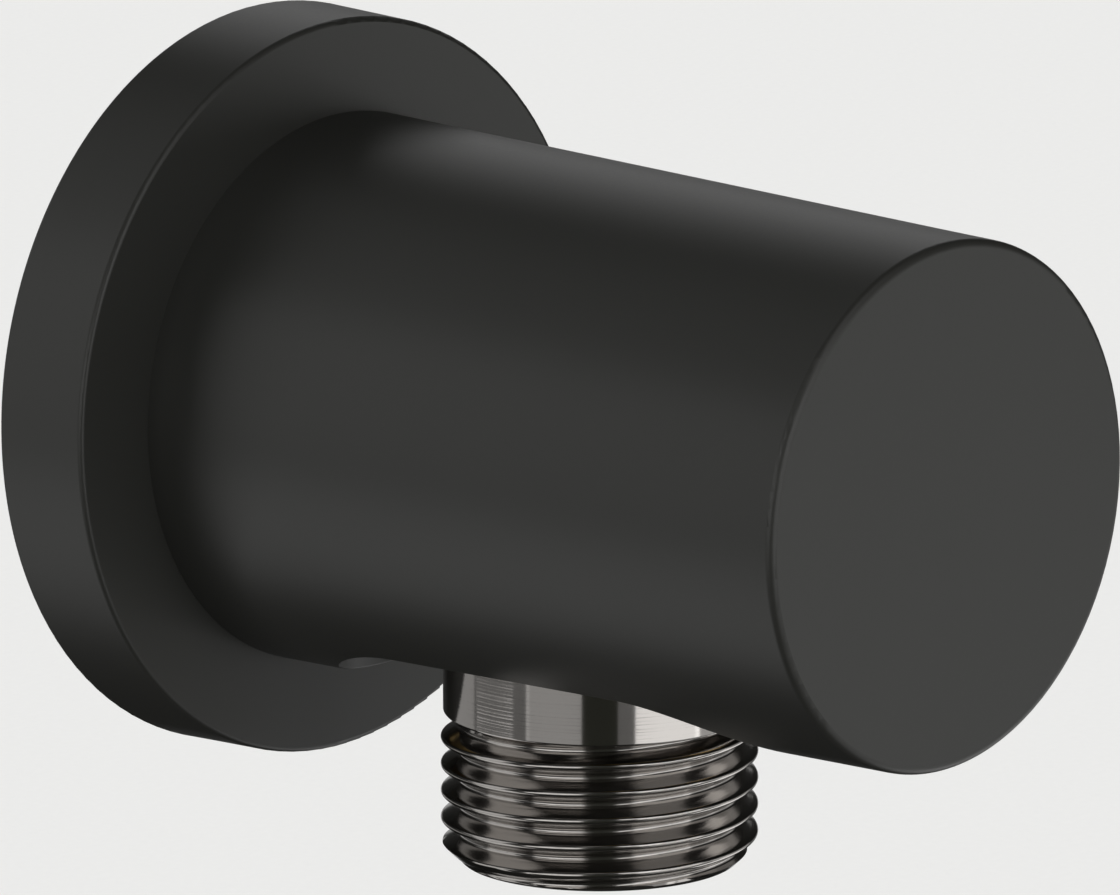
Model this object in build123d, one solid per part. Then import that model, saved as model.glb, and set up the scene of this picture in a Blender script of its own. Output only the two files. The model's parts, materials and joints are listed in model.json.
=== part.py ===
from build123d import *
import os
from math import radians, sqrt, tan

# Wall outlet elbow for a hand shower: water comes out of the wall along -Y and leaves downwards, along -Z.
# The origin is the centre of the flange's wall face. A depth is a distance out from the wall, along -Y.
# A height is a Z value, so everything under the barrel's axis has a negative height.

# Cover: flange, tapered barrel and closed front in one black piece
flange_diameter = 50.0
flange_depth = 7.2
flange_rim_draft = 1.6
flange_edge_radius = 0.35
flange_back_radius = 0.2
rim_wall = 2.2
barrel_root_diameter = 37.0
barrel_end_diameter = 34.8
projection = 60.6
end_edge_radius = 0.55
cover_wall = 2.0
end_wall = 2.5
inner_corner_radius = 0.8
outlet_offset = 30.5
slot_clearance = 0.63
slot_rear_travel = 8.2
slot_front_travel = 11.05
slot_edge_radius = 0.1

# Gasket that beds the flange on the tiles
gasket_width = 3.0

# Half-inch pipe thread of both ends, with 14 turns to the inch
thread_pitch = 1.814
thread_depth = 1.162
thread_flank_angle = 27.5

# Wall nipple: screwed into the pipe fitting with a hexagon key, its plug takes the elbow body
inlet_thread_diameter = 20.955
inlet_length = 14.0
thread_relief = 0.3
shoulder_setback = 0.4
shoulder_diameter = 25.0
shoulder_thickness = 2.0
shoulder_edge = 0.4
plug_diameter = 18.0
plug_length = 17.5
plug_chamfer = 0.6
plug_clearance = 0.05
plug_relief = 0.4
wall_key_across_flats = 10.0
wall_key_depth = 8.0

# Elbow body: one brass piece with the waterway and the outlet port
body_clearance = 0.2
body_edge = 0.6
waterway_diameter = 12.0
waterway_overrun = 3.0
drill_tip_half_angle = 59.0
ring_land = 1.0

# Grub screw that locks the body on the wall nipple, reached through the cover's slot
grub_diameter = 6.0
grub_margin = 0.8
grub_point_depth = 1.2
grub_clearance = 0.05
grub_key_across_flats = 3.0
grub_key_depth = 3.0
grub_setback = 0.4

# Rubber rings
inlet_seal_section = 2.5
plug_ring_section = 1.8
grip_ring_section = 2.0
nipple_seal_section = 1.5
cartridge_ring_section = 1.4
ring_gap = 0.03
groove_side_gap = 0.2

# Outlet nipple: collar, hose thread and the threaded spigot that screws into the body
outlet_thread_diameter = 20.955
collar_diameter = 20.64
nipple_end = 28.3
outlet_thread_length = 10.0
outlet_relief_width = 0.8
nipple_chamfer = 1.1
collar_edge = 0.3
spot_clearance = 0.5
spot_depth = 0.2
spigot_diameter = 18.0
spigot_length = 6.0
spigot_chamfer = 0.4
spigot_clearance = 0.05
port_relief = 0.6
nipple_key_across_flats = 10.8
cartridge_bore_diameter = 15.2

# Non-return valve cartridge, pushed into the nipple from below
cartridge_length = 16.8
cartridge_recess = 0.8
cartridge_clearance = 0.1
cartridge_edge = 0.3
housing_wall = 1.0
seat_thickness = 3.4
seat_diameter = 8.8
seat_entry = 0.8
guide_step = 0.3
guide_recess = 0.4
guide_height = 2.6
guide_ring_wall = 0.9
guide_snap_gap = 0.03
rib_width = 1.1
rib_count = 4
rib_drop = 0.4
hub_diameter = 4.4
hub_height = 3.6
hub_drop = 1.0
poppet_head_diameter = 10.6
poppet_head_height = 1.2
poppet_nose_diameter = 6.4
poppet_nose_height = 2.6
poppet_boss_diameter = 4.0
poppet_boss_height = 1.0
poppet_stem_diameter = 2.4
stem_clearance = 0.08
stem_engagement = 2.6
seal_thickness = 0.9
seal_stretch_gap = 0.05
spring_diameter = 5.9
spring_wire = 0.5
spring_turns = 6
spring_end_gap = 0.02

# Radii and places that follow from the sizes above
flange_radius = flange_diameter / 2
flange_front_radius = flange_radius - flange_depth * tan(radians(flange_rim_draft))
barrel_root_radius = barrel_root_diameter / 2
barrel_end_radius = barrel_end_diameter / 2
barrel_taper = (barrel_root_radius - barrel_end_radius) / (projection - flange_depth)
pan_depth = flange_depth - cover_wall
pan_radius = flange_radius - rim_wall
outlet_radius = outlet_thread_diameter / 2
slot_width = outlet_thread_diameter + 2 * slot_clearance
slot_rear_end = outlet_offset - slot_rear_travel - slot_width / 2

thread_flank = thread_depth * tan(radians(thread_flank_angle))
thread_flat = thread_pitch / 2 - thread_flank
inlet_radius = inlet_thread_diameter / 2
neck_radius = inlet_radius - thread_depth - thread_relief
shoulder_front = shoulder_setback + shoulder_thickness
plug_radius = plug_diameter / 2
plug_bore = plug_radius + plug_clearance
plug_end = shoulder_front + plug_length
plug_ring_depths = {
    "rear_plug_ring": shoulder_front + ring_land + plug_ring_section / 2,
    "front_plug_ring": plug_end - ring_land - plug_ring_section / 2,
}
grub_radius = grub_diameter / 2
grub_depth = slot_rear_end + grub_radius + grub_margin

body_radius = min(barrel_root_radius, barrel_end_radius) - cover_wall - body_clearance
collar_radius = collar_diameter / 2
spot_radius = collar_radius + spot_clearance
seat_height = spot_depth - sqrt(body_radius**2 - spot_radius**2)
rear_ring_depth = (flange_depth + slot_rear_end) / 2
front_ring_depth = outlet_offset + spot_radius + ring_land + grip_ring_section / 2
body_front = front_ring_depth + grip_ring_section / 2 + ring_land

spigot_radius = spigot_diameter / 2
port_radius = spigot_radius + spigot_clearance
spigot_top = seat_height + spigot_length
port_top = spigot_top + port_relief
nipple_seal_height = spigot_top - ring_land - nipple_seal_section / 2

cartridge_bore = cartridge_bore_diameter / 2
cartridge_bottom = cartridge_recess - nipple_end
cartridge_top = cartridge_bottom + cartridge_length
housing_radius = cartridge_bore - cartridge_clearance
housing_bore = housing_radius - housing_wall
cartridge_ring_height = cartridge_top - ring_land - cartridge_ring_section / 2
valve_seat = cartridge_top - seat_thickness
head_top = valve_seat - seal_thickness
head_bottom = head_top - poppet_head_height
guide_bottom = cartridge_bottom + guide_recess
guide_top = guide_bottom + guide_height
guide_radius = housing_bore + guide_step - guide_snap_gap
hub_bottom = guide_bottom + hub_drop
hub_top = hub_bottom + hub_height
stem_bottom = hub_top - stem_engagement


def turned_on_barrel(corners):
    """Turns a section about the barrel's axis: each corner is a radius, a depth and a corner radius."""
    points = [(radius, -depth) for radius, depth, _ in corners]
    outline = FilletPolyline(*points, radius=[rounding for *_, rounding in corners], close=True)
    return revolve(make_face(outline), Axis.Y)


def turned_on_outlet(corners):
    """Turns a section about the outlet's vertical axis: each corner is a radius, a height and a corner radius."""
    points = [(radius, height) for radius, height, _ in corners]
    outline = FilletPolyline(*points, radius=[rounding for *_, rounding in corners], close=True)
    return Pos(0, -outlet_offset, 0) * revolve(Plane.XZ * make_face(outline), Axis.Z)


def tube_on_outlet(outer, inner, bottom, top):
    """Plain ring about the outlet's axis."""
    return turned_on_outlet([(inner, bottom, 0), (outer, bottom, 0), (outer, top, 0), (inner, top, 0)])


def tube_on_barrel(outer, inner, near, far):
    """Plain ring about the barrel's axis, from one depth to another."""
    return turned_on_barrel([(inner, near, 0), (outer, near, 0), (outer, far, 0), (inner, far, 0)])


def disc_on_outlet(radius, bottom, top):
    """Plain round bar on the outlet's axis."""
    return turned_on_outlet([(0, bottom, 0), (radius, bottom, 0), (radius, top, 0), (0, top, 0)])


def ring_on_barrel(outer, section, depth):
    """Round-section rubber ring about the barrel's axis, given by its outer radius."""
    return Pos(0, -depth, 0) * Rot(90, 0, 0) * Torus(outer - section / 2, section / 2)


def ring_on_outlet(outer, section, height):
    """Round-section rubber ring about the outlet's axis, given by its outer radius."""
    return Pos(0, -outlet_offset, height) * Torus(outer - section / 2, section / 2)


def thread_corners(crest, start, end):
    """Section corners of a thread, drawn as parallel rings with flat crests and roots, between two places."""
    root = crest - thread_depth
    corners = [(crest, start, 0)]
    for turn in range(int((end - start - thread_flat) / thread_pitch)):
        groove = start + thread_flat + turn * thread_pitch
        corners += [
            (crest, groove, 0),
            (root, groove + thread_flank, 0),
            (root, groove + thread_flank + thread_flat, 0),
            (crest, groove + 2 * thread_flank + thread_flat, 0),
        ]
    return corners + [(crest, end, 0)]


def barrel_bore(depth):
    """Radius of the cover's tapered inside at a depth."""
    return barrel_root_radius - barrel_taper * (depth - flange_depth) - cover_wall


def grip_ring_radius(depth):
    """Outer radius of a rubber ring that bears on the cover's inside at a depth, at its tighter side."""
    sides = (depth - grip_ring_section / 2, depth + grip_ring_section / 2)
    return min(barrel_bore(side) for side in sides) - ring_gap


def ring_groove(outer, section):
    """Radius of the floor of the groove that holds a ring of this outer radius."""
    return outer - section - ring_gap


def key_socket(across_flats, mouth_depth, socket_depth):
    """Hexagonal hole on the barrel's axis, from a mouth that faces away from the wall."""
    mouth = Plane(origin=(0, -mouth_depth, 0), z_dir=(0, 1, 0))
    return extrude(mouth * RegularPolygon(across_flats / 2, 6, major_radius=False), amount=socket_depth)


def distance_from_barrel_axis(edge):
    """How far the middle of an edge lies from the barrel's axis."""
    middle = edge @ 0.5
    return sqrt(middle.X**2 + middle.Z**2)


# Cover: outside, the hollow behind it, and the slot that lets it slide past the nipple to meet the wall
def make_cover():
    inner_end = projection - end_wall
    outside = turned_on_barrel([
        (0, 0, 0),
        (flange_radius, 0, flange_back_radius),
        (flange_front_radius, flange_depth, flange_edge_radius),
        (barrel_root_radius, flange_depth, 0),
        (barrel_end_radius, projection, end_edge_radius),
        (0, projection, 0),
    ])
    hollow = turned_on_barrel([
        (0, -cover_wall, 0),
        (pan_radius, -cover_wall, 0),
        (pan_radius, pan_depth, inner_corner_radius),
        (barrel_bore(pan_depth), pan_depth, 0),
        (barrel_bore(inner_end), inner_end, inner_corner_radius),
        (0, inner_end, 0),
    ])
    slot_middle = outlet_offset + (slot_front_travel - slot_rear_travel) / 2
    slot_plan = SlotCenterToCenter(slot_rear_travel + slot_front_travel, slot_width, rotation=90)
    slot = extrude(Pos(0, -slot_middle, 0) * slot_plan, amount=-flange_radius)
    shell = outside - hollow
    slotted = shell - slot
    mouth = new_edges(shell, slot, combined=slotted)
    mouth_radius = barrel_bore(outlet_offset) + cover_wall / 2
    outer_mouth = [edge for edge in mouth if distance_from_barrel_axis(edge) > mouth_radius]
    return fillet(outer_mouth, slot_edge_radius)


# Gasket: flat rubber ring in the hollow of the flange, flush with the wall
def make_wall_gasket():
    outer = pan_radius - inner_corner_radius
    return tube_on_barrel(outer, outer - gasket_width, 0, pan_depth)


# Wall nipple: turned outside, drilled through, with a key socket in its plug and a groove for the grub screw
def make_wall_nipple():
    neck_end = shoulder_setback - inlet_seal_section
    bore = wall_key_across_flats / 2
    nipple = turned_on_barrel([
        (bore, -inlet_length, 0),
        (inlet_radius - thread_depth, -inlet_length, 0),
        *thread_corners(inlet_radius, thread_depth - inlet_length, neck_end),
        (neck_radius, neck_end, 0),
        (neck_radius, shoulder_setback, 0),
        (shoulder_diameter / 2, shoulder_setback, shoulder_edge),
        (shoulder_diameter / 2, shoulder_front, 0),
        (plug_radius, shoulder_front, 0),
        (plug_radius, grub_depth - grub_point_depth, 0),
        (plug_radius - grub_point_depth, grub_depth, 0),
        (plug_radius, grub_depth + grub_point_depth, 0),
        (plug_radius, plug_end - plug_chamfer, 0),
        (plug_radius - plug_chamfer, plug_end, 0),
        (bore, plug_end, 0),
    ])
    for depth in plug_ring_depths.values():
        groove_half = plug_ring_section / 2 + groove_side_gap
        floor = ring_groove(plug_bore - ring_gap, plug_ring_section)
        nipple -= tube_on_barrel(flange_radius, floor, depth - groove_half, depth + groove_half)
    return nipple - key_socket(wall_key_across_flats, plug_end, wall_key_depth)


# Elbow body: turned outside, bored for the plug, cross-drilled waterway, spot-faced outlet port, screw hole
def make_elbow_body():
    waterway_radius = waterway_diameter / 2
    waterway_end = outlet_offset + waterway_overrun
    waterway_tip = waterway_radius / tan(radians(drill_tip_half_angle))
    plug_bore_end = plug_end + plug_relief
    body = turned_on_barrel([
        (plug_bore, shoulder_front, 0),
        (body_radius, shoulder_front, body_edge),
        (body_radius, body_front, body_edge),
        (0, body_front, 0),
        (0, waterway_end + waterway_tip, 0),
        (waterway_radius, waterway_end, 0),
        (waterway_radius, plug_bore_end, 0),
        (plug_bore, plug_bore_end, 0),
    ])
    body -= disc_on_outlet(port_radius, -body_radius, port_top)
    body -= disc_on_outlet(spot_radius, -body_radius, seat_height)
    screw_hole = Cylinder(grub_radius + grub_clearance, body_radius, align=(Align.CENTER, Align.CENTER, Align.MAX))
    body -= Pos(0, -grub_depth, 0) * screw_hole
    for depth in (rear_ring_depth, front_ring_depth):
        groove_half = grip_ring_section / 2 + groove_side_gap
        floor = ring_groove(grip_ring_radius(depth), grip_ring_section)
        body -= tube_on_barrel(flange_radius, floor, depth - groove_half, depth + groove_half)
    return body


# Grub screw: headless, with a cone point in the nipple's groove and a key socket below
def make_grub_screw():
    point = grub_point_depth - plug_radius - grub_clearance
    low = grub_setback - body_radius
    section = Polyline(
        (0, point), (grub_radius, point - grub_radius), (grub_radius, low), (0, low), close=True
    )
    screw = revolve(Plane.XZ * make_face(section), Axis.Z)
    socket = RegularPolygon(grub_key_across_flats / 2, 6, major_radius=False)
    return Pos(0, -grub_depth, 0) * (screw - Pos(0, 0, low) * extrude(socket, amount=grub_key_depth))


# Outlet nipple: turned outside with a relief between collar and thread, cartridge bore, hexagonal key hole
def make_outlet_nipple():
    thread_top = outlet_thread_length - nipple_end
    thread_start = thread_top - outlet_relief_width
    relief_radius = outlet_radius - thread_depth
    outside = turned_on_outlet([
        (0, -nipple_end, 0),
        (outlet_radius - nipple_chamfer, -nipple_end, 0),
        *thread_corners(outlet_radius, nipple_chamfer - nipple_end, thread_start),
        (relief_radius, thread_start + thread_flank, 0),
        (relief_radius, thread_top, 0),
        (collar_radius, thread_top, 0),
        (collar_radius, seat_height, collar_edge),
        (spigot_radius, seat_height, 0),
        (spigot_radius, spigot_top - spigot_chamfer, 0),
        (spigot_radius - spigot_chamfer, spigot_top, 0),
        (0, spigot_top, 0),
    ])
    groove_half = nipple_seal_section / 2 + groove_side_gap
    floor = ring_groove(port_radius - ring_gap, nipple_seal_section)
    groove = tube_on_outlet(
        flange_radius, floor, nipple_seal_height - groove_half, nipple_seal_height + groove_half
    )
    bore = disc_on_outlet(cartridge_bore, -nipple_end, cartridge_top)
    key_outline = RegularPolygon(nipple_key_across_flats / 2, 6, major_radius=False)
    key_hole = Pos(0, -outlet_offset, cartridge_top) * extrude(key_outline, amount=spigot_top - cartridge_top)
    return outside - groove - bore - key_hole


# Valve housing: moulded tube with the valve seat at its upper end and a step for the guide at its lower end
def make_valve_housing():
    groove_half = cartridge_ring_section / 2 + groove_side_gap
    floor = ring_groove(cartridge_bore - ring_gap, cartridge_ring_section)
    seat_radius = seat_diameter / 2
    return turned_on_outlet([
        (seat_radius + seat_entry, cartridge_top, 0),
        (housing_radius, cartridge_top, cartridge_edge),
        (housing_radius, cartridge_ring_height + groove_half, 0),
        (floor, cartridge_ring_height + groove_half, 0),
        (floor, cartridge_ring_height - groove_half, 0),
        (housing_radius, cartridge_ring_height - groove_half, 0),
        (housing_radius, cartridge_bottom, cartridge_edge),
        (housing_bore + guide_step, cartridge_bottom, 0),
        (housing_bore + guide_step, guide_top, 0),
        (housing_bore, guide_top, 0),
        (housing_bore, valve_seat, 0),
        (seat_radius, valve_seat, 0),
        (seat_radius, cartridge_top - seat_entry, 0),
    ])


# Valve guide: spoked ring that snaps into the housing, holds the spring and guides the stem
def make_valve_guide():
    rim = tube_on_outlet(guide_radius, guide_radius - guide_ring_wall, guide_bottom, guide_top)
    hub = disc_on_outlet(hub_diameter / 2, hub_bottom, hub_top)
    rib_bottom = guide_bottom + rib_drop
    rib_length = guide_radius - guide_ring_wall / 2
    rib = Box(
        rib_length, rib_width, guide_top - rib_bottom, align=(Align.MIN, Align.CENTER, Align.MIN)
    )
    spokes = Pos(0, -outlet_offset, rib_bottom) * PolarLocations(0, rib_count) * rib
    stem_hole = disc_on_outlet(poppet_stem_diameter / 2 + stem_clearance, guide_bottom, hub_top)
    return rim + hub + spokes - stem_hole


# Poppet: head with a rounded nose above it, a spring boss below it and a stem that runs in the guide
def make_valve_poppet():
    nose = poppet_nose_diameter / 2
    nose_top = head_top + poppet_nose_height
    boss_bottom = head_bottom - poppet_boss_height
    return turned_on_outlet([
        (0, nose_top, 0),
        (nose, nose_top, nose / 2),
        (nose, head_top, 0),
        (poppet_head_diameter / 2, head_top, 0),
        (poppet_head_diameter / 2, head_bottom, 0),
        (poppet_boss_diameter / 2, head_bottom, 0),
        (poppet_boss_diameter / 2, boss_bottom, 0),
        (poppet_stem_diameter / 2, boss_bottom, 0),
        (poppet_stem_diameter / 2, stem_bottom, 0),
        (0, stem_bottom, 0),
    ])


# Valve seal: flat rubber washer on the head, pressed against the seat
def make_valve_seal():
    inner = poppet_nose_diameter / 2 + seal_stretch_gap
    return tube_on_outlet(poppet_head_diameter / 2, inner, head_top, valve_seat)


# Valve spring: wire coil from the guide's spokes to the underside of the head
def make_valve_spring():
    low = guide_top + spring_wire / 2 + spring_end_gap
    high = head_bottom - spring_wire / 2 - spring_end_gap
    height = high - low
    coil = Helix(pitch=height / spring_turns, height=height, radius=spring_diameter / 2)
    wire = Plane(origin=coil @ 0, z_dir=coil % 0) * Circle(spring_wire / 2)
    return Pos(0, -outlet_offset, low) * sweep(wire, path=coil, is_frenet=True)


parts = {
    "wall_nipple": make_wall_nipple(),
    "inlet_seal": ring_on_barrel(
        neck_radius + ring_gap + inlet_seal_section, inlet_seal_section, shoulder_setback - inlet_seal_section / 2
    ),
    "elbow_body": make_elbow_body(),
    "grub_screw": make_grub_screw(),
    "rear_grip_ring": ring_on_barrel(grip_ring_radius(rear_ring_depth), grip_ring_section, rear_ring_depth),
    "front_grip_ring": ring_on_barrel(grip_ring_radius(front_ring_depth), grip_ring_section, front_ring_depth),
    "cover": make_cover(),
    "wall_gasket": make_wall_gasket(),
    "outlet_nipple": make_outlet_nipple(),
    "nipple_seal": ring_on_outlet(port_radius - ring_gap, nipple_seal_section, nipple_seal_height),
    "valve_housing": make_valve_housing(),
    "cartridge_ring": ring_on_outlet(cartridge_bore - ring_gap, cartridge_ring_section, cartridge_ring_height),
    "valve_guide": make_valve_guide(),
    "valve_poppet": make_valve_poppet(),
    "valve_seal": make_valve_seal(),
    "valve_spring": make_valve_spring(),
}

for name, depth in plug_ring_depths.items():
    parts[name] = ring_on_barrel(plug_bore - ring_gap, plug_ring_section, depth)

os.makedirs("parts", exist_ok=True)
for name, solid in parts.items():
    export_step(solid, f"parts/{name}.step")
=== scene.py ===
import json
import math

import bmesh
import bpy
import numpy as np
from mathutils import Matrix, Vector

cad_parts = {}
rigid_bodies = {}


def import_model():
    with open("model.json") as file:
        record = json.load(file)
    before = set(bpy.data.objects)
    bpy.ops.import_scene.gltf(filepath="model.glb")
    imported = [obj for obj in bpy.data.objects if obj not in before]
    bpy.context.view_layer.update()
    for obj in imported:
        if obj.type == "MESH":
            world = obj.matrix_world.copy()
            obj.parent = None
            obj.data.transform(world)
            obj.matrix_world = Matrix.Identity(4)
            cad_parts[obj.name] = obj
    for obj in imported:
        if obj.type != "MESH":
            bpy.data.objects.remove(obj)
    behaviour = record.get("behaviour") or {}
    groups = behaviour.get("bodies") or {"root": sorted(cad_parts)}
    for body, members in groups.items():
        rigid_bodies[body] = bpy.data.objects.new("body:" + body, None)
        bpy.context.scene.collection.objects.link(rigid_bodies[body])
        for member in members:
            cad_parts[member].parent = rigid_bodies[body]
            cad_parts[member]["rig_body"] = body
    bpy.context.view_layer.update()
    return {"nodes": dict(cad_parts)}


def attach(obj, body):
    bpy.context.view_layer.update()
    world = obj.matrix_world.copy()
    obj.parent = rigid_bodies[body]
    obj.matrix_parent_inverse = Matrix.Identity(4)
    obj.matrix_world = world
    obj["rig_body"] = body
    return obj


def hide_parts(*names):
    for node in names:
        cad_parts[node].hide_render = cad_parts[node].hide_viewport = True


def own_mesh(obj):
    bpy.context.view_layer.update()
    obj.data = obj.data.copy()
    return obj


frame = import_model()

nodes = frame["nodes"]

# Wall nipple: the brass piece that screws into the pipe fitting behind the tiles and carries the elbow.
# It is turned from bar with a cut half-inch thread, and its plug has grooves for two rubber rings and the screw.
# A hexagon key turns it home through the waterway, which ends in a six-sided socket at the front.
mm = 0.001
columns = 120
angles = np.arange(columns) * 2 * math.pi / columns
thread_pitch = 1.814
thread_depth = 1.162
thread_crest = 10.4775
thread_root = thread_crest - thread_depth
thread_rounding = 0.249
thread_flank = math.radians(27.5)
edge_band, edge_steps = 0.03, 4
touching = 1e-6
sharp_angle = math.radians(32)


def hexagon(across_flats):
    """Radius of a six-sided hole in each column."""
    sixth = math.pi / 3
    return across_flats / 2 / np.cos((angles + sixth / 2) % sixth - sixth / 2)


def eased(corners):
    """Section with rounded corners: each corner is a radius, a height and its rounding, all in millimetres.

    A narrow band on both sides of a rounding keeps the flat or cylinder beyond it evenly shaded.
    """
    points = []
    for index, (radius, height, rounding) in enumerate(corners):
        if not rounding:
            points.append((radius, height))
            continue
        here = np.array((radius, height))
        before = np.array(corners[index - 1][:2]) - here
        after = np.array(corners[(index + 1) % len(corners)][:2]) - here
        before, after = before / np.linalg.norm(before), after / np.linalg.norm(after)
        half = math.acos(np.clip(before @ after, -1, 1)) / 2
        inward = (before + after) / np.linalg.norm(before + after)
        centre = here + inward * rounding / math.sin(half)
        start = before * rounding / math.tan(half) + here - centre
        end = after * rounding / math.tan(half) + here - centre
        span = math.pi - 2 * half
        points.append(tuple(centre + start + before * edge_band))
        for step in range(edge_steps + 1):
            part = span * step / edge_steps
            arm = (start * math.sin(span - part) + end * math.sin(part)) / math.sin(span)
            points.append(tuple(centre + arm))
        points.append(tuple(centre + end + after * edge_band))
    return points


def thread_turn():
    """One turn of the thread's rounded section from crest to crest: (place along the axis, drop below the crest)."""
    arc = np.linspace(0, math.pi / 2 - thread_flank, edge_steps + 1)
    crest = [(thread_rounding * math.sin(a), thread_rounding * (1 - math.cos(a))) for a in arc]
    root = [(thread_pitch / 2 - place, thread_depth - drop) for place, drop in reversed(crest)]
    (near, high), (far, low) = crest[-1], root[0]
    flank = [(near + (far - near) * t, high + (low - high) * t) for t in (1 / 3, 2 / 3)]
    half = crest + flank + root
    return half + [(thread_pitch - place, drop) for place, drop in reversed(half[1:-1])]


def turned_mesh(name, outline, phase, high_slope, low_slope):
    """Closed mesh turned about Z from a section's outline, which a thread closes from the last corner to the first.

    The phase sets where the thread begins, and the slopes how fast it runs in at its high and low ends.
    """
    points, faces = [], []

    def ring(radius, height):
        first = len(points)
        radius = np.broadcast_to(radius, (columns,))
        points.extend(zip(radius * np.cos(angles), radius * np.sin(angles), np.full(columns, height)))
        return list(range(first, first + columns))

    rings = [ring(radius, height) for radius, height in outline]
    for one, other in zip(rings, rings[1:]):
        for i in range(columns):
            k = (i + 1) % columns
            faces.append((one[i], one[k], other[k], other[i]))
    (low_radius, low), (high_radius, high) = outline[0], outline[-1]
    turn, made = thread_turn(), {}
    rows = int((high - low + 2 * thread_pitch) / thread_pitch * len(turn))

    def corner(i, j):
        if i == columns:
            i, j = 0, j - len(turn)
        whole, part = divmod(j, len(turn))
        place, drop = turn[part]
        height = high + phase + thread_pitch * (i / columns - whole) - place
        if height >= high - touching:
            return rings[-1][i]
        if height <= low + touching:
            return rings[0][i]
        if (i, j) not in made:
            made[i, j] = len(points)
            radius = min(
                thread_crest - drop,
                high_radius + (high - height) * high_slope,
                low_radius + (height - low) * low_slope,
            )
            points.append((radius * math.cos(angles[i]), radius * math.sin(angles[i]), height))
        return made[i, j]

    for i in range(columns):
        for j in range(rows):
            loop = [corner(i, j), corner(i, j + 1), corner(i + 1, j + 1), corner(i + 1, j)]
            loop = list(dict.fromkeys(loop))
            if len(loop) > 2:
                faces.append(loop)
    mesh = bpy.data.meshes.new(name)
    mesh.from_pydata([tuple(c * mm for c in p) for p in points], [], faces)
    shell = bmesh.new()
    shell.from_mesh(mesh)
    bmesh.ops.recalc_face_normals(shell, faces=shell.faces)
    shell.to_mesh(mesh)
    shell.free()
    mesh.shade_smooth()
    mesh.set_sharp_from_angle(angle=sharp_angle)
    return mesh


def new_piece(name, mesh, node):
    """Puts a mesh in the place of a solid of the frame, on the same body, and hides that solid."""
    piece = bpy.data.objects.new(name, mesh)
    bpy.context.scene.collection.objects.link(piece)
    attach(piece, nodes[node]["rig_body"])
    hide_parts(node)
    return piece


neck_radius, shoulder_radius, plug_radius = 9.0155, 12.5, 9.0
wall_thread_start, wall_thread_end = 2.1, 14.0
shoulder_back, shoulder_front, plug_end = -0.4, -2.4, -19.9
plug_bevel = 0.6
ring_groove_radius = 7.19
rear_groove_back, rear_groove_front = -3.2, -5.4
front_groove_back, front_groove_front = -16.9, -19.1
screw_groove, screw_groove_depth = -14.9925, 1.2
waterway_radius, waterway_bevel = 5.0, 0.2
wall_key_flats, wall_key_bottom = 10.0, -11.9
key_ledge, key_ledge_length = 0.02, 0.5
wall_nipple_mesh = turned_mesh(
    "wall_nipple_threaded",
    eased([
        (thread_root, wall_thread_start, 0),
        (neck_radius, wall_thread_start, 0),
        (neck_radius, shoulder_back, 0.1),
        (shoulder_radius, shoulder_back, 0.4),
        (shoulder_radius, shoulder_front, 0.05),
        (plug_radius, shoulder_front, 0.1),
        (plug_radius, rear_groove_back, 0.05),
        (ring_groove_radius, rear_groove_back, 0.15),
        (ring_groove_radius, rear_groove_front, 0.15),
        (plug_radius, rear_groove_front, 0.05),
        (plug_radius, screw_groove + screw_groove_depth, 0.1),
        (plug_radius - screw_groove_depth, screw_groove, 0.15),
        (plug_radius, screw_groove - screw_groove_depth, 0.1),
        (plug_radius, front_groove_back, 0.05),
        (ring_groove_radius, front_groove_back, 0.15),
        (ring_groove_radius, front_groove_front, 0.15),
        (plug_radius, front_groove_front, 0),
        (plug_radius, plug_end + plug_bevel, 0),
        (plug_radius - plug_bevel, plug_end, 0),
    ]) + [
        (hexagon(wall_key_flats), plug_end),
        (hexagon(wall_key_flats), wall_key_bottom),
        (waterway_radius - key_ledge, wall_key_bottom),
        (waterway_radius, wall_key_bottom + key_ledge_length),
        (waterway_radius, wall_thread_end - waterway_bevel),
        (waterway_radius + waterway_bevel, wall_thread_end),
        (thread_root, wall_thread_end),
    ],
    phase=0.4,
    high_slope=1.0,
    low_slope=1.4,
)
for vertex in wall_nipple_mesh.vertices:
    x, y, z = vertex.co
    vertex.co = (x, z, -y)
wall_nipple = new_piece("wall_nipple_threaded", wall_nipple_mesh, "wall_nipple")


def shader_group(name, inputs, outputs):
    """Empty shader node group with named sockets, and its input and output nodes."""
    group = bpy.data.node_groups.new(name, "ShaderNodeTree")
    for label, kind, value in inputs:
        socket = group.interface.new_socket(label, in_out="INPUT", socket_type=kind)
        if value is not None:
            socket.default_value = value
    for label, kind in outputs:
        group.interface.new_socket(label, in_out="OUTPUT", socket_type=kind)
    return group, group.nodes.new("NodeGroupInput"), group.nodes.new("NodeGroupOutput")


def maths(tree, operation, *values):
    """Math node fed by the outputs of other nodes."""
    node = tree.nodes.new("ShaderNodeMath")
    node.operation = operation
    for socket, value in zip(node.inputs, values):
        tree.links.new(value, socket)
    return node.outputs[0]


def noise(tree, place, detail):
    """Node of solid noise at a place, from 0 to 1."""
    node = tree.nodes.new("ShaderNodeTexNoise")
    node.inputs["Detail"].default_value = detail
    tree.links.new(place, node.inputs["Vector"])
    return node


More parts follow.
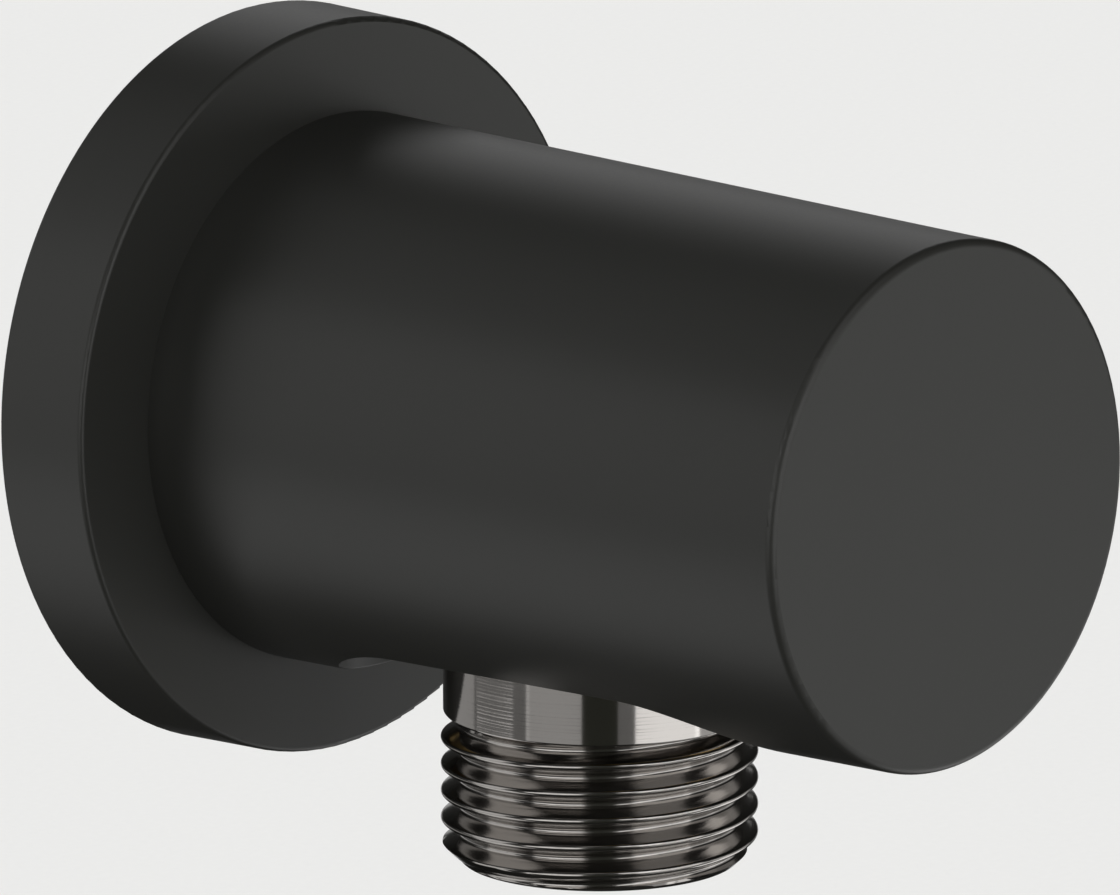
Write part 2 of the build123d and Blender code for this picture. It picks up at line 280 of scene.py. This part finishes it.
# Turning marks: fine rings that a lathe tool leaves, round the Z axis of the place that is put in.
turning_marks, group_in, group_out = shader_group(
    "turning_marks",
    [("Place", "NodeSocketVector", None), ("Rings per metre", "NodeSocketFloat", 4000.0)],
    [("Marks", "NodeSocketFloat")],
)
split = turning_marks.nodes.new("ShaderNodeSeparateXYZ")
turning_marks.links.new(group_in.outputs["Place"], split.inputs[0])
across = maths(
    turning_marks, "SQRT",
    maths(
        turning_marks, "ADD",
        maths(turning_marks, "MULTIPLY", split.outputs[0], split.outputs[0]),
        maths(turning_marks, "MULTIPLY", split.outputs[1], split.outputs[1]),
    ),
)
travel = maths(turning_marks, "ADD", across, split.outputs[2])
lines = turning_marks.nodes.new("ShaderNodeTexNoise")
lines.noise_dimensions = "1D"
lines.inputs["Scale"].default_value = 1.0
lines.inputs["Detail"].default_value = 4.0
turning_marks.links.new(
    maths(turning_marks, "MULTIPLY", travel, group_in.outputs["Rings per metre"]), lines.inputs["W"]
)
turning_marks.links.new(lines.outputs["Fac"], group_out.inputs["Marks"])

# Fine grain: the small unevenness of a coat, a casting or a moulding, in two sizes of speck.
fine_grain, group_in, group_out = shader_group(
    "fine_grain",
    [("Place", "NodeSocketVector", None), ("Specks per metre", "NodeSocketFloat", 3000.0)],
    [("Grain", "NodeSocketFloat"), ("Clouds", "NodeSocketFloat")],
)
clouds_per_metre = 60.0
specks = noise(fine_grain, group_in.outputs["Place"], detail=3.0)
fine_grain.links.new(group_in.outputs["Specks per metre"], specks.inputs["Scale"])
fine_grain.links.new(specks.outputs["Fac"], group_out.inputs["Grain"])
clouds = noise(fine_grain, group_in.outputs["Place"], detail=2.0)
clouds.inputs["Scale"].default_value = clouds_per_metre
fine_grain.links.new(clouds.outputs["Fac"], group_out.inputs["Clouds"])


def new_finish(name, **settings):
    """Material with a Principled shader whose plain numbers are set on its own sockets."""
    material = bpy.data.materials.new(name)
    material.use_nodes = True
    tree = material.node_tree
    shader = tree.nodes["Principled BSDF"]
    for label, value in settings.items():
        shader.inputs[label.replace("_", " ")].default_value = value
    return material, tree, shader


def place_on(tree, turn=(0.0, 0.0, 0.0), shift=(0.0, 0.0, 0.0)):
    """Object coordinates moved and turned so that the piece's turning axis is Z."""
    where = tree.nodes.new("ShaderNodeTexCoord")
    mapping = tree.nodes.new("ShaderNodeMapping")
    mapping.inputs["Location"].default_value = shift
    mapping.inputs["Rotation"].default_value = turn
    tree.links.new(where.outputs["Object"], mapping.inputs["Vector"])
    return mapping.outputs["Vector"]


def effect(tree, group, place, **values):
    """Places a shared effect in a material, with its own values."""
    node = tree.nodes.new("ShaderNodeGroup")
    node.node_tree = group
    tree.links.new(place, node.inputs["Place"])
    for label, value in values.items():
        node.inputs[label.replace("_", " ")].default_value = value
    return node


def between(tree, value, low, high, start=0.0, end=1.0):
    """Maps a value onto a range."""
    node = tree.nodes.new("ShaderNodeMapRange")
    node.inputs["From Min"].default_value = start
    node.inputs["From Max"].default_value = end
    node.inputs["To Min"].default_value = low
    node.inputs["To Max"].default_value = high
    tree.links.new(value, node.inputs["Value"])
    return node.outputs[0]


def blended(tree, mask, one, other):
    """Colour between two colours, by a mask."""
    node = tree.nodes.new("ShaderNodeMix")
    node.data_type = "RGBA"
    slots = [s for s in node.inputs if s.type == "RGBA"]
    for socket, colour in zip(slots, (one, other)):
        socket.default_value = (*colour, 1.0)
    tree.links.new(mask, node.inputs[0])
    return next(s for s in node.outputs if s.type == "RGBA")


def bumped(tree, shader, height, distance):
    """Fine relief on a shader's normal, as deep as the distance in metres."""
    node = tree.nodes.new("ShaderNodeBump")
    node.inputs["Strength"].default_value = 1.0
    node.inputs["Distance"].default_value = distance
    tree.links.new(height, node.inputs["Height"])
    tree.links.new(node.outputs["Normal"], shader.inputs["Normal"])


def painted(piece, material):
    """Gives a piece or a solid of the frame one material."""
    piece.data.materials.clear()
    piece.data.materials.append(material)


quarter = math.pi / 2
brass, tree, shader = new_finish("turned_brass", Metallic=1.0)
place = place_on(tree, turn=(quarter, 0, 0))
marks = effect(tree, turning_marks, place, Rings_per_metre=5000.0)
grain = effect(tree, fine_grain, place, Specks_per_metre=900.0)
tree.links.new(
    blended(tree, grain.outputs["Clouds"], (0.66, 0.47, 0.19), (0.54, 0.39, 0.18)), shader.inputs["Base Color"]
)
tree.links.new(between(tree, marks.outputs["Marks"], 0.2, 0.42), shader.inputs["Roughness"])
bumped(tree, shader, marks.outputs["Marks"], 0.000012)
painted(wall_nipple, brass)

# Inlet seal: black rubber ring in the neck behind the wall thread, squeezed against the pipe fitting.
# Moulded to size, it is rolled over the thread into its neck.
rubber, tree, shader = new_finish("black_rubber", Specular_IOR_Level=0.4)
place = place_on(tree)
grain = effect(tree, fine_grain, place, Specks_per_metre=5200.0)
tree.links.new(
    blended(tree, grain.outputs["Clouds"], (0.016, 0.016, 0.016), (0.028, 0.028, 0.027)), shader.inputs["Base Color"]
)
tree.links.new(between(tree, grain.outputs["Grain"], 0.46, 0.68), shader.inputs["Roughness"])
bumped(tree, shader, grain.outputs["Grain"], 0.00001)
painted(nodes["inlet_seal"], rubber)

# Plug rings: two black rubber rings that seal the elbow body on the wall nipple's plug.
# They sit in the plug's grooves and are hidden once the body is pushed on.
for ring_name in ("rear_plug_ring", "front_plug_ring"):
    painted(nodes[ring_name], rubber)

# Elbow body: the brass piece that turns the water from the wall downwards.
# It is turned from bar, bored for the plug and the waterway, with a spot-faced port for the outlet.
painted(nodes["elbow_body"], brass)

# Grub screw: short stainless screw with a cone point and a hexagonal socket.
# It is screwed up through the body into the plug's groove, and reached through the slot in the cover.
steel, tree, shader = new_finish("stainless_steel", Metallic=1.0)
place = place_on(tree)
grain = effect(tree, fine_grain, place, Specks_per_metre=2600.0)
tree.links.new(
    blended(tree, grain.outputs["Clouds"], (0.34, 0.34, 0.35), (0.44, 0.44, 0.44)), shader.inputs["Base Color"]
)
tree.links.new(between(tree, grain.outputs["Grain"], 0.22, 0.42), shader.inputs["Roughness"])
bumped(tree, shader, grain.outputs["Grain"], 0.000006)
painted(nodes["grub_screw"], steel)

# Grip rings: two black rubber rings in grooves round the body.
# The cover is pushed over them and holds by their grip alone.
for ring_name in ("rear_grip_ring", "front_grip_ring"):
    painted(nodes[ring_name], rubber)

# Cover: wall flange, tapered barrel and closed front in one piece, slotted below for the outlet.
# Drawn and turned metal under a smooth matt black coat, which only shows its fine grain close to.
# It is pushed over the grip rings until the flange meets the tiles.
black_coat, tree, shader = new_finish("matt_black_coat", Specular_IOR_Level=0.5)
place = place_on(tree)
grain = effect(tree, fine_grain, place, Specks_per_metre=4200.0)
tree.links.new(
    blended(tree, grain.outputs["Clouds"], (0.0372, 0.0375, 0.0335), (0.0420, 0.0422, 0.0382)),
    shader.inputs["Base Color"],
)
tree.links.new(between(tree, grain.outputs["Grain"], 0.37, 0.43), shader.inputs["Roughness"])
bumped(tree, shader, grain.outputs["Grain"], 0.000002)
painted(nodes["cover"], black_coat)

# Wall gasket: flat ring of dark grey rubber in the hollow of the flange.
# Moulded, and pressed against the tiles when the cover is pushed home.
gasket_rubber, tree, shader = new_finish("grey_rubber", Specular_IOR_Level=0.3)
place = place_on(tree)
grain = effect(tree, fine_grain, place, Specks_per_metre=2400.0)
tree.links.new(
    blended(tree, grain.outputs["Grain"], (0.05, 0.05, 0.052), (0.075, 0.075, 0.078)), shader.inputs["Base Color"]
)
tree.links.new(between(tree, grain.outputs["Grain"], 0.62, 0.85), shader.inputs["Roughness"])
bumped(tree, shader, grain.outputs["Grain"], 0.00004)
painted(nodes["wall_gasket"], gasket_rubber)

# Outlet nipple: smooth collar and half-inch hose thread, screwed up into the body through the slot.
# Turned brass with a dark bright plating that mirrors its surroundings; the valve cartridge sits in its bore.
outlet_axis = -30.5
collar_radius, collar_top, collar_bottom = 10.32, -10.476, -18.3
nipple_end, nipple_end_radius = -28.3, 9.2
bore_radius, bore_top, bore_bevel = 7.6, -10.7, 0.2
nipple_key_flats = 10.8
finish_change = 0.1
spigot_radius, spigot_top, spigot_bevel = 9.0, -4.476, 0.4
seal_groove_radius, seal_groove_top, seal_groove_bottom = 7.49, -5.276, -7.176
nipple_mesh = turned_mesh(
    "outlet_nipple_threaded",
    [
        (nipple_end_radius, nipple_end),
        (bore_radius + bore_bevel, nipple_end),
        (bore_radius, nipple_end + bore_bevel),
        (bore_radius, bore_top),
        (hexagon(nipple_key_flats), bore_top),
        (hexagon(nipple_key_flats), spigot_top),
    ] + eased([
        (spigot_radius - spigot_bevel, spigot_top, 0),
        (spigot_radius, spigot_top - spigot_bevel, 0),
        (spigot_radius, seal_groove_top, 0.05),
        (seal_groove_radius, seal_groove_top, 0.15),
        (seal_groove_radius, seal_groove_bottom, 0.15),
        (spigot_radius, seal_groove_bottom, 0.05),
        (spigot_radius, collar_top, 0.1),
        (collar_radius, collar_top, 0.3),
        (collar_radius, collar_bottom, 0.12),
        (thread_root, collar_bottom, 0),
    ]),
    phase=1.144,
    high_slope=1.9,
    low_slope=1.05,
)
for vertex in nipple_mesh.vertices:
    vertex.co.y += outlet_axis * mm
outlet_nipple = new_piece("outlet_nipple_threaded", nipple_mesh, "outlet_nipple")
dark_plating, tree, shader = new_finish("dark_bright_plating", Metallic=1.0)
place = place_on(tree, shift=(0, -outlet_axis * mm, 0))
marks = effect(tree, turning_marks, place, Rings_per_metre=5500.0)
grain = effect(tree, fine_grain, place, Specks_per_metre=1500.0)
tree.links.new(
    blended(tree, grain.outputs["Clouds"], (0.46, 0.44, 0.42), (0.42, 0.40, 0.38)), shader.inputs["Base Color"]
)
heights = tree.nodes.new("ShaderNodeSeparateXYZ")
tree.links.new(place, heights.inputs[0])
thread_begins, collar_begins = (collar_bottom - finish_change) * mm, (collar_bottom + finish_change) * mm
cut_thread = between(tree, heights.outputs[2], 1.0, 0.0, thread_begins, collar_begins)
smooth = between(tree, marks.outputs["Marks"], 0.06, 0.12)
cut_roughness = maths(tree, "MULTIPLY", cut_thread, between(tree, grain.outputs["Grain"], 0.03, 0.08))
tree.links.new(maths(tree, "ADD", smooth, cut_roughness), shader.inputs["Roughness"])
bumped(tree, shader, marks.outputs["Marks"], 0.000004)
painted(outlet_nipple, dark_plating)

# Nipple seal: black rubber ring that keeps the water in where the nipple's spigot enters the body's port.
# Moulded, it is stretched into the spigot's groove and squeezed as the nipple is screwed up.
painted(nodes["nipple_seal"], rubber)

# Valve cartridge: non-return valve of white moulded plastic, pushed up into the nipple from below.
# Its housing has the seat, a spoked guide snaps into its lower end, and one black ring seals it in the bore.
white_plastic, tree, shader = new_finish("white_plastic", Specular_IOR_Level=0.45)
place = place_on(tree)
grain = effect(tree, fine_grain, place, Specks_per_metre=3500.0)
tree.links.new(
    blended(tree, grain.outputs["Clouds"], (0.76, 0.76, 0.73), (0.82, 0.82, 0.8)), shader.inputs["Base Color"]
)
tree.links.new(between(tree, grain.outputs["Grain"], 0.36, 0.52), shader.inputs["Roughness"])
bumped(tree, shader, grain.outputs["Grain"], 0.000006)
for node_name in ("valve_housing", "valve_guide"):
    painted(nodes[node_name], white_plastic)
painted(nodes["cartridge_ring"], rubber)

# Poppet: blue moulded plastic valve head on a stem, with a flat black washer that shuts on the seat.
# It slides in the guide and opens downwards with the flow.
blue_plastic, tree, shader = new_finish("blue_plastic", Specular_IOR_Level=0.45)
place = place_on(tree)
grain = effect(tree, fine_grain, place, Specks_per_metre=3500.0)
tree.links.new(
    blended(tree, grain.outputs["Clouds"], (0.09, 0.24, 0.44), (0.11, 0.28, 0.5)), shader.inputs["Base Color"]
)
tree.links.new(between(tree, grain.outputs["Grain"], 0.34, 0.5), shader.inputs["Roughness"])
bumped(tree, shader, grain.outputs["Grain"], 0.000006)
painted(nodes["valve_poppet"], blue_plastic)
painted(nodes["valve_seal"], rubber)

# Valve spring: coil of drawn stainless wire that pushes the poppet up against its seat.
# Wound to length, it stands on the guide's hub and shortens as the poppet opens.
spring_coil = new_piece("valve_spring_coil", nodes["valve_spring"].data.copy(), "valve_spring")
painted(spring_coil, steel)
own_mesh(spring_coil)

# Floor: plain pale studio floor, well below the fitting, which hangs as it does on its wall.
# It can be seen through from underneath, so the fitting's underside shows in low views.
floor_level = -1.0
floor_reach = 30.0
speck_lightening = 1.04


def board(name, corners, faces, colour):
    """Board of one pale or dark colour that belongs to the studio."""
    mesh = bpy.data.meshes.new(name)
    mesh.from_pydata(corners, [], faces)
    piece = bpy.data.objects.new(name, mesh)
    bpy.context.scene.collection.objects.link(piece)
    material, tree, shader = new_finish(name, Specular_IOR_Level=0.0, Roughness=0.8)
    grain = effect(tree, fine_grain, place_on(tree), Specks_per_metre=300.0)
    lighter = tuple(speck_lightening * part for part in colour)
    tree.links.new(blended(tree, grain.outputs["Grain"], colour, lighter), shader.inputs["Base Color"])
    painted(piece, material)
    return piece, tree, shader


_, tree, shader = board(
    "pale_floor",
    [(x * floor_reach, y * floor_reach, floor_level) for x, y in ((-1, -1), (1, -1), (1, 1), (-1, 1))],
    [(0, 1, 2, 3)],
    (0.80, 0.80, 0.79),
)
sides = tree.nodes.new("ShaderNodeNewGeometry")
clear = tree.nodes.new("ShaderNodeBsdfTransparent")
choice = tree.nodes.new("ShaderNodeMixShader")
tree.links.new(sides.outputs["Backfacing"], choice.inputs[0])
tree.links.new(shader.outputs[0], choice.inputs[1])
tree.links.new(clear.outputs[0], choice.inputs[2])
tree.links.new(choice.outputs[0], tree.nodes["Material Output"].inputs["Surface"])

# Dark tent: closed tent of black board round the fitting and its lamps, which the camera looks through.
# It keeps the pale floor and surround out of the coat and the plating, which then show their dark tone.
tent_sides = 24
tent_radius = 0.95
tent_bottom, tent_top = -0.66, 0.95
tent_turns = [2 * math.pi * side / tent_sides for side in range(tent_sides)]
tent_walls = [
    (side, (side + 1) % tent_sides, (side + 1) % tent_sides + tent_sides, side + tent_sides)
    for side in range(tent_sides)
]
dark_tent, _, _ = board(
    "dark_tent",
    [
        (tent_radius * math.cos(turn), tent_radius * math.sin(turn), height)
        for height in (tent_bottom, tent_top) for turn in tent_turns
    ],
    [tuple(range(tent_sides)), tuple(range(tent_sides, 2 * tent_sides))] + tent_walls,
    (0.08, 0.08, 0.075),
)
dark_tent.visible_camera = False

# Dark card: narrow board that stands between camera and fitting and darkens what faces the lens.
# It gives the bright nipple its dark middle stripe, and the camera looks through it.
aim = np.array((0, -0.03, 0))
camera_bearing = -48.01
card_distance = 0.45
card_half_angle = math.radians(13)
card_bottom, card_top = -0.34, 0.6


def toward(bearing, elevation):
    """Direction from the fitting, by its bearing to the right of the camera and its elevation, in degrees."""
    a, e = math.radians(camera_bearing + bearing), math.radians(elevation)
    return np.array((math.sin(a) * math.cos(e), -math.cos(a) * math.cos(e), math.sin(e)))


card_middle = toward(0, 0) * card_distance
card_side = toward(90, 0) * card_distance * math.tan(card_half_angle)
dark_card, _, _ = board(
    "dark_card",
    [
        tuple(card_middle + side * card_side + aim + (0, 0, height))
        for side, height in ((1, card_bottom), (-1, card_bottom), (-1, card_top), (1, card_top))
    ],
    [(0, 1, 2, 3)],
    (0.115, 0.12, 0.10),
)
dark_card.visible_camera = False

# Studio light: soft panels round the fitting, one under the tent that lights the floor, and a surround as pale as it.
# Low strips give the bright nipple its stripes, and the panels above and below shade the matt cover.
# A panel has a bearing to the right of the camera, an elevation, a width, a height and a brightness.
panel_distance = 0.7
floor_panel_drop, floor_panel_width = 0.75, 60.0
surround_tone, surround_light = 0.816, 0.02
world = bpy.data.worlds.new("studio_surround")
world.use_nodes = True
tree = world.node_tree
ray = tree.nodes.new("ShaderNodeLightPath")
mirrored = maths(tree, "MAXIMUM", ray.outputs["Is Glossy Ray"], ray.outputs["Is Transmission Ray"])
in_sight = maths(tree, "MAXIMUM", ray.outputs["Is Camera Ray"], mirrored)
tree.nodes["Background"].inputs["Color"].default_value = (1.0, 1.0, 0.9875, 1.0)
tree.links.new(between(tree, in_sight, surround_light, surround_tone), tree.nodes["Background"].inputs["Strength"])
bpy.context.scene.world = world


def soft_panel(name, bearing, elevation, width, height, brightness, distance=panel_distance):
    """Area light of a given brightness that faces the fitting."""
    way = toward(bearing, elevation)
    lamp = bpy.data.lights.new(name, "AREA")
    lamp.shape = "RECTANGLE"
    lamp.size, lamp.size_y = width, height
    lamp.energy = brightness * math.pi * width * height
    panel = bpy.data.objects.new(name, lamp)
    bpy.context.scene.collection.objects.link(panel)
    panel.location = aim + way * distance
    panel.rotation_mode = "QUATERNION"
    panel.rotation_quaternion = Vector(-way).to_track_quat("-Z", "Y")
    panel.visible_camera = False
    return panel


for panel in (
    ("right_strip", 52, -13, 0.66, 0.15, 1.50),
    ("right_inner_strip", 19.5, -13, 0.16, 0.15, 0.18),
    ("right_front_low", 52, 7, 0.66, 0.28, 1.15),
    ("right_front", 30, 24, 0.38, 0.40, 1.25),
    ("right_low", 90, -10, 0.38, 0.30, 0.60),
    ("right_back_low", 120, -10, 0.38, 0.30, 0.38),
    ("right_back_strip", 150, -13, 0.62, 0.13, 0.20),
    ("left_strip", -34, -13, 0.53, 0.15, 0.46),
    ("left_front_low", -34, 4, 0.53, 0.24, 1.45),
    ("left_front", -30, 24, 0.38, 0.40, 0.45),
    ("left_side", -88, 12, 0.40, 0.60, 0.74),
    ("left_side_strip", -79, -15.5, 0.66, 0.08, 0.18),
    ("left_back_strip", -130, -13, 0.62, 0.13, 0.40),
    ("left_back", -120, 24, 0.38, 0.40, 0.70),
    ("back", 180, 24, 0.38, 0.40, 0.62),
    ("back_low", 180, -13, 0.50, 0.30, 0.40),
    ("under_left", -85, -36, 0.45, 0.48, 0.84),
    ("under_right", 60, -37, 0.40, 0.44, 0.45),
    ("under_right_back", 120, -37, 0.40, 0.44, 1.40),
    ("top_right", 30, 55, 0.72, 0.38, 0.55),
    ("top_left_back", -120, 55, 0.42, 0.38, 0.18),
):
    soft_panel(*panel)
floor_panel = soft_panel(
    "floor_panel", 0, -90, floor_panel_width, floor_panel_width, 1.0, distance=floor_panel_drop
)
floor_panel.rotation_quaternion = (1, 0, 0, 0)

# Camera: long lens at the photograph's angle, aimed at the middle of the barrel.
# Its distance and small offsets come from a fit to the flange, barrel and nipple outlines.
lens_pixels = 13355.02
image_width = 1120
camera_distance = 0.87562
camera_elevation = 12.96
shift_left, shift_down = 0.00224, 0.00071
back, right = toward(0, camera_elevation), toward(90, 0)
up = np.cross(back, right)
lens = bpy.data.cameras.new("studio_camera")
lens.sensor_fit = "HORIZONTAL"
lens.sensor_width = 36.0
lens.lens = lens_pixels / image_width * lens.sensor_width
lens.clip_start, lens.clip_end = 0.05, 50.0
camera = bpy.data.objects.new("studio_camera", lens)
bpy.context.scene.collection.objects.link(camera)
camera.location = aim + back * camera_distance - right * shift_left - up * shift_down
camera.rotation_mode = "QUATERNION"
camera.rotation_quaternion = Vector(-back).to_track_quat("-Z", "Y")
bpy.context.scene.camera = camera
bpy.context.scene.view_settings.view_transform = "Standard"
